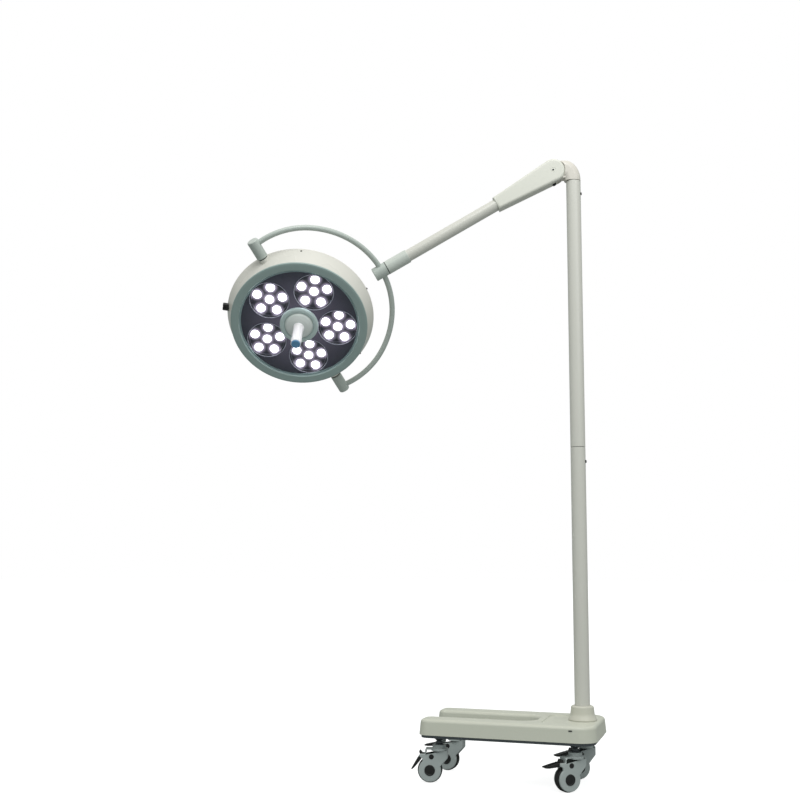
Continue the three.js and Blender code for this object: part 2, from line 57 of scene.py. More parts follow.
# Driving sizes in millimetres, the same as the CAD part's.
POLE = dict(r=23, wall=2.5, foot=147, seam=1014.5, top=1875, lower_screw=969.5, upper_screw=1831.7)
BASE = dict(left=-476, right=58, half=150, gap_half=62, gap_root=-140, corner=56, leg=30,
            root=46, bottom=143, top=189, wall=3, roof=8, edge=11)
DECK = dict(left=-112, right=-46, half=92, corner=20, depth=4)
CHASSIS = dict(inset=6, top=142.7, bottom=134.2)
COLLAR = dict(top=33.5, bottom=43, height=43)
ELBOW = dict(out=51, up=66, start=4, end=46)
ARM = dict(pivot_out=64.3, pivot_z=1908.8, tube=19.4, cover_end=212.4, hub=639.1,
           cheek=38, width=47, barrel=34.4, barrel_width=34)
SLEEVE = dict(r=22.4, length=79)
YOKE = dict(hub=22, front=28, back=18, tube=8.8, arc=303, shift=4.3, straight_from=55,
            end_drop=13, block=18, block_inner=243.5, block_outer=307.4)
HEAD = dict(at=307.3, rim=240.8, rim_z=-16.4, lip=221, lip_z=40, back=-76, wall=3,
            glass=192.1, glass_z=45.6, bezel=218.6, bezel_z=47.2, ring=62, handle=16.5, tip=172,
            knob_angle=324, module_ring=124.5, module=60, module_phase=2.85,
            led_ring=42.7, led_phase=20.4, led=13.9)
CASTER = dict(wheel=37.18, wheel_z=37.5, wheel_width=24, trail=28, plate=38, slot=26.4, top=100,
              neck=20, neck_top=112, cap=16, small_cap=7.4, disc=34, pressed=52, raised=6)


# ---- frames -------------------------------------------------------------------------------
JOINTS = {joint["name"]: joint for joint in frame["joints"]}


def spot(joint):
    return Vector(JOINTS[joint]["pos_m"])


def axis(joint):
    return Vector(JOINTS[joint]["axis"]).normalized()


def placed(origin, x, y):
    """Rigid frame with these X and Y directions at origin."""
    z = x.cross(y).normalized()
    place = Matrix((y.cross(z), y, z)).transposed().to_4x4()
    place.translation = origin
    return place


ALONG_X = Matrix.Rotation(math.radians(90), 4, "Y")
ALONG_Y = Matrix.Rotation(math.radians(-90), 4, "X")
FLIP = Matrix.Rotation(math.radians(180), 4, "X")

foot = spot("pole_swivel") - UP * POLE["top"] * MM
BASE_AT = Matrix.Translation(foot)
SWIVEL_AT = placed(foot, axis("arm_tilt").cross(UP), axis("arm_tilt"))
ARM_AT = placed(spot("arm_tilt"), axis("yoke_roll"), axis("arm_tilt"))
YOKE_AT = placed(spot("yoke_roll"), axis("yoke_roll"), axis("head_tilt").cross(axis("yoke_roll")))
HEAD_AT = placed(spot("head_tilt"), axis("handle_twist").cross(axis("head_tilt")), -axis("head_tilt"))


def spin(degrees):
    return Matrix.Rotation(math.radians(degrees), 4, "Z")


def shift(x, y, z):
    """A move in millimetres, for pieces whose meshes are in metres."""
    return Matrix.Translation(Vector((x, y, z)) * MM)


def caster_frame(name):
    origin = spot(name + "_swivel")
    origin.z = foot.z
    roll = axis(name + "_roll")
    return placed(origin, roll.cross(UP), roll)


# ---- shapes: each is (vertices in millimetres, faces) -------------------------------------
def joined(*shapes):
    verts, faces = [], []
    for points, polygons in shapes:
        start = len(verts)
        verts += [Vector(p) for p in points]
        faces += [[start + i for i in polygon] for polygon in polygons]
    return verts, faces


def moved(shape, matrix):
    return [matrix @ Vector(p) for p in shape[0]], shape[1]


def at(x, y, z):
    return Matrix.Translation((x, y, z))


def rounded(points, closed=True, steps=6):
    """Outline through (a, b) or (a, b, radius) points, with an arc at each one that has a radius."""
    out = []
    for i, point in enumerate(points):
        corner = Vector(point[:2])
        at_end = not closed and i in (0, len(points) - 1)
        if len(point) < 3 or at_end:
            out.append(corner)
            continue
        back = (Vector(points[i - 1][:2]) - corner).normalized()
        on = (Vector(points[(i + 1) % len(points)][:2]) - corner).normalized()
        half = back.angle(on) / 2
        centre = corner + (back + on).normalized() * (point[2] / math.sin(half))
        first = corner + back * (point[2] / math.tan(half)) - centre
        last = corner + on * (point[2] / math.tan(half)) - centre
        turn = math.atan2(first.x * last.y - first.y * last.x, first.dot(last))
        for k in range(steps + 1):
            a = turn * k / steps
            c, s = math.cos(a), math.sin(a)
            out.append(centre + Vector((first.x * c - first.y * s, first.x * s + first.y * c)))
    return out


def arc(x, y, radius, start, end, steps=24):
    """Points on an arc, in degrees."""
    angles = [math.radians(start + (end - start) * k / steps) for k in range(steps + 1)]
    return [Vector((x + radius * math.cos(a), y + radius * math.sin(a))) for a in angles]


def circle(radius, sides, x=0, y=0):
    return arc(x, y, radius, 0, 360, sides)[:-1]


def inset(outline, distance):
    """An anticlockwise outline moved inwards."""
    out = []
    for i, point in enumerate(outline):
        back = (point - outline[i - 1]).normalized()
        on = (outline[(i + 1) % len(outline)] - point).normalized()
        a, b = Vector((-back.y, back.x)), Vector((-on.y, on.x))
        out.append(point + (a + b) / (1 + a.dot(b)) * distance)
    return out


def bands(rings, closed=False):
    """Quads between rings of equal point count."""
    count = len(rings[0])
    faces = []
    for j in range(len(rings) if closed else len(rings) - 1):
        low, high = j * count, (j + 1) % len(rings) * count
        for i in range(count):
            k = (i + 1) % count
            faces.append([low + i, low + k, high + k, high + i])
    return [p for ring in rings for p in ring], faces


def patch(*loops):
    """Flat fill between an outer loop and the holes in it."""
    loops = [[Vector(p) for p in loop] for loop in loops]
    return [p for loop in loops for p in loop], [list(t) for t in tessellate_polygon(loops)]


def stack(rings):
    """Closed solid skinned over rings."""
    return joined(bands(rings), patch(rings[0]), patch(rings[-1]))


def lathe(profile, sides=MEDIUM, closed=False):
    """Turned about Z from (radius, z) points; closed joins the last point to the first."""
    verts, rows = [], []
    for r, z in profile:
        count = sides if r > 1e-6 else 1
        rows.append(range(len(verts), len(verts) + count))
        angles = [2 * math.pi * i / sides for i in range(count)]
        verts += [Vector((r * math.cos(a), r * math.sin(a), z)) for a in angles]
    faces = []
    for low, high in zip(rows, rows[1:] + (rows[:1] if closed else [])):
        for i in range(sides):
            k = (i + 1) % sides
            ids = (low[i % len(low)], low[k % len(low)], high[k % len(high)], high[i % len(high)])
            face = list(dict.fromkeys(ids))
            if len(face) > 2:
                faces.append(face)
    return verts, faces


def turned(*points, sides=MEDIUM, closed=False, steps=5):
    """Lathe whose profile has (r, z, fillet) corners."""
    return lathe(rounded(points, closed, steps), sides, closed)


def disc(r, low, high, edge=0.6, sides=SMALL):
    """Round block with both edges rounded."""
    return turned((0, low), (r, low, edge), (r, high, edge), (0, high), sides=sides)


def hoop(inner, outer, low, high, edge=0.6, sides=MEDIUM):
    """Ring with all its edges rounded."""
    return turned((inner, low, edge), (outer, low, edge), (outer, high, edge), (inner, high, edge),
                  sides=sides, closed=True, steps=3)


def prism(outline, low, high, edge=1.0, steps=4):
    """Outline in X-Z pushed along Y from low to high, with its two rims rounded."""
    area = sum(a.x * b.y - b.x * a.y for a, b in zip(outline, outline[1:] + outline[:1]))
    if area < 0:
        outline = outline[::-1]
    levels = []
    for k in range(steps + 1):
        a = math.pi / 2 * k / steps
        levels.append((edge * (1 - math.sin(a)), edge * (1 - math.cos(a))))
    rings = [[Vector((p.x, low + up, p.y)) for p in inset(outline, inn)] for inn, up in levels]
    rings += [[Vector((p.x, high - up, p.y)) for p in inset(outline, inn)] for inn, up in levels[::-1]]
    return stack(rings)


def block(x0, x1, y0, y1, z0, z1, corner=1.0, edge=0.5):
    """Rectangular block with rounded corners and edges."""
    outline = rounded([(x0, z0, corner), (x1, z0, corner), (x1, z1, corner), (x0, z1, corner)], steps=4)
    return prism(outline, y0, y1, edge, 3)


def sweep(points, radius, sides=SMALL):
    """Round bar along a smooth line of points, with flat ends."""
    points = [Vector(p) for p in points]
    side = None
    rings = []
    for i, point in enumerate(points):
        ahead = points[min(i + 1, len(points) - 1)] - points[max(i - 1, 0)]
        ahead.normalize()
        if side is None:
            side = ahead.orthogonal().normalized()
        side = (side - ahead * side.dot(ahead)).normalized()
        other = ahead.cross(side)
        rings.append([point + (side * math.cos(a) + other * math.sin(a)) * radius
                      for a in (2 * math.pi * k / sides for k in range(sides))])
    return stack(rings)


def holder(shape):
    """Scratch object for one boolean."""
    mesh = bpy.data.meshes.new("scratch")
    mesh.from_pydata(shape[0], [], shape[1])
    bm = bmesh.new()
    bm.from_mesh(mesh)
    bmesh.ops.remove_doubles(bm, verts=bm.verts, dist=1e-3)
    bmesh.ops.recalc_face_normals(bm, faces=bm.faces)
    bm.to_mesh(mesh)
    bm.free()
    obj = bpy.data.objects.new("scratch", mesh)
    bpy.context.scene.collection.objects.link(obj)
    return obj


def boolean(operation, shape, *others):
    """shape with the others cut away ("DIFFERENCE") or joined on ("UNION")."""
    scratch = [holder(s) for s in (shape, *others)]
    for tool in scratch[1:]:
        modifier = scratch[0].modifiers.new("cut", "BOOLEAN")
        modifier.operation, modifier.solver, modifier.object = operation, "EXACT", tool
    bpy.context.view_layer.update()
    made = scratch[0].evaluated_get(bpy.context.evaluated_depsgraph_get())
    mesh = made.to_mesh()
    result = [v.co.copy() for v in mesh.vertices], [list(p.vertices) for p in mesh.polygons]
    made.to_mesh_clear()
    for obj in scratch:
        bpy.data.meshes.remove(obj.data)
    return result


def cut(shape, *tools):
    return boolean("DIFFERENCE", shape, *tools)


def weld(shape, *others):
    return boolean("UNION", shape, *others)


def build(name, body, place, shape, material, replaces=(), sharp=34):
    """One piece: its mesh in metres in its own frame, shaded smooth, riding on a CAD body."""
    mesh = bpy.data.meshes.new(name)
    mesh.from_pydata([Vector(v) * MM for v in shape[0]], [], shape[1])
    bm = bmesh.new()
    bm.from_mesh(mesh)
    bmesh.ops.remove_doubles(bm, verts=bm.verts, dist=2e-6)
    bmesh.ops.dissolve_degenerate(bm, edges=bm.edges, dist=1e-6)
    bmesh.ops.recalc_face_normals(bm, faces=bm.faces)
    bm.to_mesh(mesh)
    bm.free()
    mesh.shade_smooth()
    mesh.set_sharp_from_angle(angle=math.radians(sharp))
    mesh.materials.append(material)
    obj = bpy.data.objects.new(name, mesh)
    bpy.context.scene.collection.objects.link(obj)
    even = obj.modifiers.new("even", "WEIGHTED_NORMAL")
    even.keep_sharp = True
    obj.matrix_world = place
    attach(obj, body)
    if replaces:
        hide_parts(*replaces)
    return obj


# ---- finishes -----------------------------------------------------------------------------
GRAIN_HEIGHT = 0.0002   # metres
GLASS_IOR = 1.45


def srgb(r, g, b):
    """Linear colour from 0-255 display values."""
    def linear(v):
        v /= 255
        return v / 12.92 if v <= 0.04045 else ((v + 0.055) / 1.055) ** 2.4
    return linear(r), linear(g), linear(b), 1


class Tree:
    """A material's node tree with short names for its usual nodes."""

    def __init__(self, name):
        self.material = bpy.data.materials.new(name)
        self.material.use_nodes = True
        self.nodes = self.material.node_tree.nodes
        self.shader = self.nodes["Principled BSDF"]
        coords = self.nodes.new("ShaderNodeTexCoord")
        self.place = coords.outputs["Object"]

    def link(self, source, target):
        self.material.node_tree.links.new(source, target)

    def stretched(self, scale):
        mapping = self.nodes.new("ShaderNodeMapping")
        mapping.inputs["Scale"].default_value = scale
        self.link(self.place, mapping.inputs["Vector"])
        return mapping.outputs["Vector"]

    def noise(self, scale, detail=2.0, place=None, rough=0.5):
        node = self.nodes.new("ShaderNodeTexNoise")
        node.inputs["Scale"].default_value = scale
        node.inputs["Detail"].default_value = detail
        node.inputs["Roughness"].default_value = rough
        self.link(place or self.place, node.inputs["Vector"])
        return node.outputs["Fac"]

    def spread(self, value, low, high, start=0.3, end=0.7):
        """value's range start..end mapped to low..high."""
        node = self.nodes.new("ShaderNodeMapRange")
        for key, number in (("From Min", start), ("From Max", end), ("To Min", low), ("To Max", high)):
            node.inputs[key].default_value = number
        self.link(value, node.inputs["Value"])
        return node.outputs["Result"]

    def mixed(self, share, a, b):
        """Colour between a and b, each a colour or a socket."""
        node = self.nodes.new("ShaderNodeMix")
        node.data_type = "RGBA"
        self.link(share, node.inputs["Factor"])
        for key, value in (("A", a), ("B", b)):
            socket = next(s for s in node.inputs if s.name == key and s.type == "RGBA")
            if isinstance(value, bpy.types.NodeSocket):
                self.link(value, socket)
            else:
                socket.default_value = value
        return next(s for s in node.outputs if s.type == "RGBA")

    def maths(self, operation, a, b=None):
        node = self.nodes.new("ShaderNodeMath")
        node.operation = operation
        for socket, value in zip(node.inputs, (a, b)):
            if isinstance(value, bpy.types.NodeSocket):
                self.link(value, socket)
            elif value is not None:
                socket.default_value = value
        return node.outputs["Value"]

    def bump(self, height, strength, distance):
        node = self.nodes.new("ShaderNodeBump")
        node.inputs["Strength"].default_value = strength
        node.inputs["Distance"].default_value = distance
        self.link(height, node.inputs["Height"])
        self.link(node.outputs["Normal"], self.shader.inputs["Normal"])


def scaled(colour, factor):
    return tuple(min(c * factor, 1) for c in colour[:3]) + (1,)


def finish(name, colour, rough=(0.33, 0.38), cloud=0.012, grain=900, depth=0.06, metal=0.0,
           stretch=(1, 1, 1), speckle=0.006):
    """Painted, moulded or metal finish: slow colour change, fine speckle and, with depth, a grain."""
    tree = Tree(name)
    slow = tree.noise(3, 2)
    fine = tree.noise(grain, 2, tree.stretched(stretch))
    toned = tree.mixed(tree.spread(slow, 0, 1), scaled(colour, 1 - cloud), scaled(colour, 1 + cloud))
    dark = tree.mixed(tree.spread(slow, 0, 1), scaled(colour, 1 - cloud - 2 * speckle),
                      scaled(colour, 1 + cloud - 2 * speckle))
    tree.link(tree.mixed(tree.spread(fine, 1, 0), toned, dark), tree.shader.inputs["Base Color"])
    patchy = tree.noise(8, 2)
    tree.link(tree.spread(patchy, *rough), tree.shader.inputs["Roughness"])
    if depth:
        tree.bump(fine, depth, GRAIN_HEIGHT)
    tree.shader.inputs["Metallic"].default_value = metal
    return tree.material


def led_light(name, colour, strength):
    """Lit LED lens, almost evenly white."""
    tree = Tree(name)
    lines = tree.noise(350, 1)
    tree.link(tree.mixed(tree.spread(lines, 0, 1), colour, scaled(colour, 0.93)),
              tree.shader.inputs["Emission Color"])
    tree.shader.inputs["Emission Strength"].default_value = strength
    tree.shader.inputs["Base Color"].default_value = colour
    tree.shader.inputs["Roughness"].default_value = 0.2
    tree.material.cycles.emission_sampling = "NONE"
    return tree.material


def module_floor(name):
    """Dark module floor with a soft violet glow painted round each of its six LEDs as emission, and a base
    colour painted lighter and more violet towards its middle.

    The five outer LEDs are alike, so each point is turned into the sector of the nearest one.
    """
    tree = Tree(name)
    split = tree.nodes.new("ShaderNodeSeparateXYZ")
    tree.link(tree.place, split.inputs["Vector"])
    x, y = split.outputs["X"], split.outputs["Y"]
    out = tree.maths("SQRT", tree.maths("ADD", tree.maths("MULTIPLY", x, x), tree.maths("MULTIPLY", y, y)))
    turn = tree.maths("SUBTRACT", tree.maths("ARCTAN2", y, x), math.radians(HEAD["led_phase"]))
    fifth = math.radians(72)
    turn = tree.maths("SUBTRACT", turn, tree.maths("MULTIPLY", tree.maths("ROUND",
                      tree.maths("DIVIDE", turn, fifth)), fifth))
    along = tree.maths("SUBTRACT", tree.maths("MULTIPLY", out, tree.maths("COSINE", turn)),
                       HEAD["led_ring"] * MM)
    across = tree.maths("MULTIPLY", out, tree.maths("SINE", turn))
    near = tree.maths("SQRT", tree.maths("ADD", tree.maths("MULTIPLY", along, along),
                      tree.maths("MULTIPLY", across, across)))
    near = tree.maths("MINIMUM", near, out)
    # painted glow: an emitted violet halo round each LED, standing in for the LEDs' light on the floor
    halo = tree.spread(near, 1, 0, HEAD["led"] * MM, 2.0 * HEAD["led"] * MM)
    halo = tree.maths("MULTIPLY", halo, halo)
    # painted glow: the base colour is lighter and more violet towards the module's middle
    wide = tree.spread(out, 1, 0, HEAD["module"] * MM / 2, (HEAD["module"] + 2) * MM)
    light = tree.mixed(halo, (0, 0, 0, 1), srgb(214, 198, 220))
    base = tree.mixed(wide, srgb(34, 37, 48), srgb(66, 60, 74))
    tree.link(light, tree.shader.inputs["Emission Color"])
    tree.shader.inputs["Emission Strength"].default_value = 0.8
    tree.link(base, tree.shader.inputs["Base Color"])
    tree.shader.inputs["Roughness"].default_value = 0.35
    tree.bump(tree.noise(500, 2), 0.08, GRAIN_HEIGHT)
    tree.material.cycles.emission_sampling = "NONE"
    return tree.material


def painted_mask_glow(material):
    """A faint violet glow painted on the mask as emission, which fades from the middle of the head to its
    edge.
    """
    nodes, links = material.node_tree.nodes, material.node_tree.links
    coords, length = nodes.new("ShaderNodeTexCoord"), nodes.new("ShaderNodeVectorMath")
    length.operation = "LENGTH"
    links.new(coords.outputs["Object"], length.inputs[0])
    fade = nodes.new("ShaderNodeMapRange")
    for key, number in (("From Min", 0.06), ("From Max", 0.185), ("To Min", 0.085), ("To Max", 0.012)):
        fade.inputs[key].default_value = number
    links.new(length.outputs["Value"], fade.inputs["Value"])
    shader = nodes["Principled BSDF"]
    # painted glow: emission strength falls from the head's middle to its edge
    links.new(fade.outputs["Result"], shader.inputs["Emission Strength"])
    shader.inputs["Emission Color"].default_value = srgb(236, 214, 246)
    material.cycles.emission_sampling = "NONE"


def pane(name):
    """Clear glass: what is behind it shows through, and its outer face reflects the room faintly."""
    tree = Tree(name)
    nodes = tree.nodes
    clear = nodes.new("ShaderNodeBsdfTransparent")
    clear.inputs["Color"].default_value = (0.94, 0.96, 0.98, 1)
    shiny = nodes.new("ShaderNodeBsdfGlossy")
    smear = tree.noise(40, 3)
    tree.link(tree.spread(smear, 0.04, 0.14), shiny.inputs["Roughness"])
    fresnel = nodes.new("ShaderNodeFresnel")
    fresnel.inputs["IOR"].default_value = GLASS_IOR
    side = nodes.new("ShaderNodeNewGeometry")
    outside = tree.maths("SUBTRACT", 1.0, side.outputs["Backfacing"])
    mix = nodes.new("ShaderNodeMixShader")
    tree.link(tree.maths("MULTIPLY", fresnel.outputs["Fac"], outside), mix.inputs["Fac"])
    tree.link(clear.outputs["BSDF"], mix.inputs[1])
    tree.link(shiny.outputs["BSDF"], mix.inputs[2])
    tree.link(mix.outputs["Shader"], nodes["Material Output"].inputs["Surface"])
    nodes.remove(tree.shader)
    return tree.material


cover_paint = finish("cover_paint", srgb(203, 206, 192), (0.36, 0.44), grain=700, depth=0.12)
tube_paint = finish("tube_paint", srgb(211, 211, 203), (0.28, 0.33), depth=0, speckle=0)
sleeve_paint = finish("sleeve_paint", srgb(200, 207, 200), (0.28, 0.33), depth=0, speckle=0)
# painted shade: the tube paint made darker and greener for the yoke, standing in for the shade it lies in
# behind the head
yoke_shaded_paint = finish("yoke_shaded_paint", srgb(186, 195, 189), (0.28, 0.34), depth=0, speckle=0)
elbow_paint = finish("elbow_paint", srgb(216, 212, 203), (0.3, 0.36), depth=0, speckle=0)
arm_plastic = finish("arm_plastic", srgb(219, 220, 210), (0.36, 0.44), depth=0, speckle=0)
collar_plastic = finish("collar_plastic", srgb(205, 205, 192), (0.34, 0.42), grain=1000, depth=0.08)
shell_paint = finish("shell_paint", srgb(219, 218, 210), (0.26, 0.32), depth=0, speckle=0)
# painted shade: the bezel colour is darkened to stand in for the shade on its downward-facing ring
bezel_plastic = finish("bezel_plastic", srgb(155, 175, 172), (0.32, 0.4), depth=0.08)
mint_plastic = finish("mint_plastic", srgb(192, 210, 208), (0.3, 0.38))
dome_plastic = finish("dome_plastic", srgb(224, 231, 228), (0.3, 0.38))
white_plastic = finish("white_plastic", srgb(242, 240, 242), (0.3, 0.36))
blue_plastic = finish("blue_plastic", srgb(92, 146, 188), (0.38, 0.46), depth=0.08)
black_plastic = finish("black_plastic", srgb(17, 18, 19), (0.4, 0.5), depth=0.14)
black_screw = finish("black_screw", srgb(27, 28, 29), (0.28, 0.36), metal=0.6)
caster_plastic = finish("caster_plastic", srgb(172, 181, 180), (0.4, 0.48), grain=1000, depth=0.14)
tyre_rubber = finish("tyre_rubber", srgb(24, 24, 24), (0.64, 0.76), grain=500, depth=0.25)
chassis_steel = finish("chassis_steel", srgb(92, 98, 102), (0.4, 0.48), metal=0.7)
ballast_iron = finish("ballast_iron", srgb(58, 58, 58), (0.6, 0.75), metal=0.6, grain=300, depth=0.4)
zinc_plate = finish("zinc_plate", srgb(176, 180, 184), (0.28, 0.36), metal=1.0, grain=200,
                    stretch=(1, 1, 14), depth=0.08)
heat_sink = finish("heat_sink", srgb(120, 124, 128), (0.38, 0.46), metal=0.9)
spring_steel = finish("spring_steel", srgb(120, 122, 124), (0.26, 0.32), metal=1.0)
mask_black = finish("mask_black", srgb(34, 42, 56), (0.3, 0.36), cloud=0.04)
# painted violet glow on the mask, fading towards the head's edge
painted_mask_glow(mask_black)
rim_bright = finish("rim_bright", srgb(205, 202, 214), (0.25, 0.32), metal=0.3)
seam_dark = finish("seam_dark", srgb(62, 66, 64), (0.5, 0.6))
led_white = led_light("led_white", (1, 0.98, 1, 1), strength=5)
led_warm = led_light("led_warm", (1, 0.95, 0.93, 1), strength=4)
# module floor with a painted violet glow round its LEDs
led_floor_painted_glow = module_floor("led_floor_painted_glow")
front_glass = pane("front_glass")


# ---- base ---------------------------------------------------------------------------------
def base_plan(distance, z):
    """The U-shaped plan moved inwards by distance, at height z."""
    b = BASE
    outer, gap = b["half"] - distance, b["gap_half"] + distance
    left, right, root = b["left"] + distance, b["right"] - distance, b["gap_root"] + distance
    convex, leg = max(b["corner"] - distance, 4), max(b["leg"] - distance, 4)
    concave = b["root"] + distance
    outline = rounded([
        (right, -outer, convex), (right, outer, convex), (left, outer, leg), (left, gap, leg),
        (root, gap, concave), (root, -gap, concave), (left, -gap, leg), (left, -outer, leg)], steps=14)
    return [Vector((p.x, p.y, z)) for p in outline]


def deck_plan(distance, z):
    """The sunk deck's plan moved inwards by distance, at height z."""
    d = DECK
    corner = max(d["corner"] - distance, 3)
    left, right, half = d["left"] + distance, d["right"] - distance, d["half"] - distance
    outline = rounded([(right, -half, corner), (right, half, corner), (left, half, corner),
                       (left, -half, corner)], steps=8)
    return [Vector((p.x, p.y, z)) for p in outline]


def base_cover():
    """Thin moulded shell with a sunk deck, a hole for the pole and openings for inlet and plug."""
    b, low, ceiling = BASE, BASE["top"] - DECK["depth"], BASE["top"] - BASE["roof"]
    outside = rounded([(0, b["bottom"]), (4.8, b["top"], b["edge"]), (20, b["top"])], False, 8)[:-1]
    inside = rounded([(b["wall"], b["bottom"]), (b["wall"] + 4, ceiling, 6), (30, ceiling)], False, 5)[:-1]
    lip = rounded([(-4, b["top"]), (-0.6, b["top"], 2.2), (1.2, low, 2.2), (5, low)], False, 5)
    outer = [base_plan(d, z) for d, z in outside]
    inner = [base_plan(d, z) for d, z in inside]
    deck = [deck_plan(d, z) for d, z in lip]
    bore = POLE["r"] + 1
    hole = [[Vector((p.x, p.y, z)) for p in circle(bore, MEDIUM)] for z in (b["top"], ceiling)]
    shape = joined(
        bands(outer), bands([outer[0], inner[0]]), bands(inner), bands(hole), bands(deck),
        patch(outer[-1], deck[0], hole[0]), patch(deck[-1]), patch(inner[-1], hole[1]))
    inlet = block(-86, -54, 120, 165, 150, 174, 2, 0.2)
    plug_room = block(-20.4, -8.6, -152, -145, 174.4, 178.6, 1.8, 0.1)
    build("base_cover_shell", "base", BASE_AT, cut(shape, inlet, plug_room), cover_paint,
          ["base_cover"])


def base_parts():
    """Chassis plate, the collar round the pole, a plug in the near side and the mains inlet."""
    c = CHASSIS
    levels = rounded([(c["inset"] + 5, c["bottom"]), (c["inset"], c["bottom"], 1.5),
                      (c["inset"], c["top"], 1), (c["inset"] + 5, c["top"])], False, 3)
    build("chassis_plate", "base", BASE_AT, stack([base_plan(d, z) for d, z in levels]),
          chassis_steel, ["base_chassis"])
    r, low, high = POLE["r"] + 0.3, BASE["top"] + 0.3, BASE["top"] + 0.3 + COLLAR["height"]
    skirt = turned((r, low), (COLLAR["bottom"], low, 1.2), (COLLAR["bottom"], low + 3, 2),
                   (COLLAR["top"] + 3, low + 17, 30), (COLLAR["top"], high, 6), (r, high, 1),
                   sides=FINE, closed=True)
    build("pole_collar_cone", "base", BASE_AT, skirt, collar_plastic, ["pole_collar"])
    plug = block(-20, -9, -148, -145.2, 174.8, 178.2, 1.6, 0.4)
    build("side_plug", "base", BASE_AT, plug, seam_dark)
    inlet_parts()


def inlet_parts():
    """Mains inlet on the back of the base: flange, recessed socket and three blades."""
    flange = block(-89, -51, 150.3, 153, 148, 176.5, 5, 0.8)
    body = block(-85.5, -54.5, 125, 151, 151, 173.5, 1.5, 0.3)
    room = prism(rounded([(-81, 154, 2), (-59, 154, 2), (-59, 165, 2), (-64, 170.3, 2),
                          (-76, 170.3, 2), (-81, 165, 2)], steps=4), 132, 160, 0.1, 1)
    build("mains_inlet_housing", "base", BASE_AT, cut(weld(body, flange), room), black_plastic,
          ["mains_inlet"])
    blades = joined(*(block(x - 1, x + 1, 131, 147, z - 2.5, z + 2.5, 0.6, 0.4)
                      for x, z in ((-76, 160), (-64, 160), (-70, 165))))
    build("mains_inlet_blades", "base", BASE_AT, blades, zinc_plate)


# ---- pole ---------------------------------------------------------------------------------
def pole_parts():
    """Two lengths of pipe over an inner liner, each held by a screw in its back."""
    r, seam, gap = POLE["r"], POLE["seam"], 0.7
    inner = r - POLE["wall"]
    lengths = (("lower_pole", POLE["foot"], seam - gap), ("upper_pole", seam + gap, POLE["top"] - gap))
    for name, low, high in lengths:
        pipe = turned((inner, low), (r, low, 0.8), (r, high, 0.8), (inner, high), sides=FINE,
                      closed=True, steps=3)
        build(name + "_tube", "base", BASE_AT, pipe, tube_paint, [name])
    core = hoop(16.7, 20.2, seam - 100, seam + 100, 0.5)
    build("pole_joint_liner", "base", BASE_AT, core, seam_dark, ["pole_joint_sleeve"])
    for name in ("lower", "upper"):
        head = turned((0, 17.5), (2.8, 17.5), (2.8, r - 0.3), (5, r - 0.3, 0.4), (5, r + 1.6, 1.2),
                      (3.4, r + 3, 0.4), (1.7, r + 3), (1.7, r + 1.2), (0, r + 1.2), sides=SMALL)
        place = BASE_AT @ shift(0, 0, POLE[name + "_screw"]) @ ALONG_X
        build(name + "_pole_socket_screw", "base", place, head, black_screw,
              [name + "_pole_screw"])


# ---- elbow and arm ------------------------------------------------------------------------
def elbow_part():
    """Round-sided bend from the pole to the pivot, hollowed round the arm cover's cheeks.

    Its side outline is drawn in 25 layers across its width, each moved in so that the sides are round.
    """
    a, r, top = ARM, POLE["r"], POLE["top"]
    out, up, level, end = ELBOW["out"], ELBOW["up"], top + ELBOW["start"], ELBOW["end"]
    outline = [Vector(p) for p in ((end, top + 8), (r + 8, top + 8), (r, top - 24), (-r, top - 24))]
    outline += [Vector((out - r - out * math.cos(t), level + up * math.sin(t)))
                for t in (math.radians(k * 4) for k in range(23))]
    outline += [Vector((end, level + up))]
    rings = []
    layers, fullness = 24, 0.9
    for k in range(layers + 1):
        around = math.pi * (k / layers - 0.5) * 0.97
        rings.append([Vector((p.x, r * math.sin(around), p.y))
                      for p in inset(outline[::-1], fullness * (r - r * math.cos(around)))])
    below = block(-40, 40, -40, 40, top - 60, top + 0.7, 0.1, 0.1)
    pipe = cut(stack(rings), below)
    pivot = at(a["pivot_out"], 0, a["pivot_z"]) @ ALONG_Y
    cheek = a["cheek"] + 0.8
    room = moved(lathe([(0, -40), (cheek, -40), (cheek, 40), (0, 40)], FINE), pivot)
    half = a["barrel_width"] / 2
    barrel = moved(disc(a["barrel"], -half, half, 1.5, FINE), pivot)
    neck = block(6, a["pivot_out"], -half, half, a["pivot_z"] - 26, a["pivot_z"] + 20, 4, 2)
    shape = weld(cut(pipe, room), barrel, neck)
    build("elbow_bend", "swivel", SWIVEL_AT, shape, elbow_paint, ["elbow"])


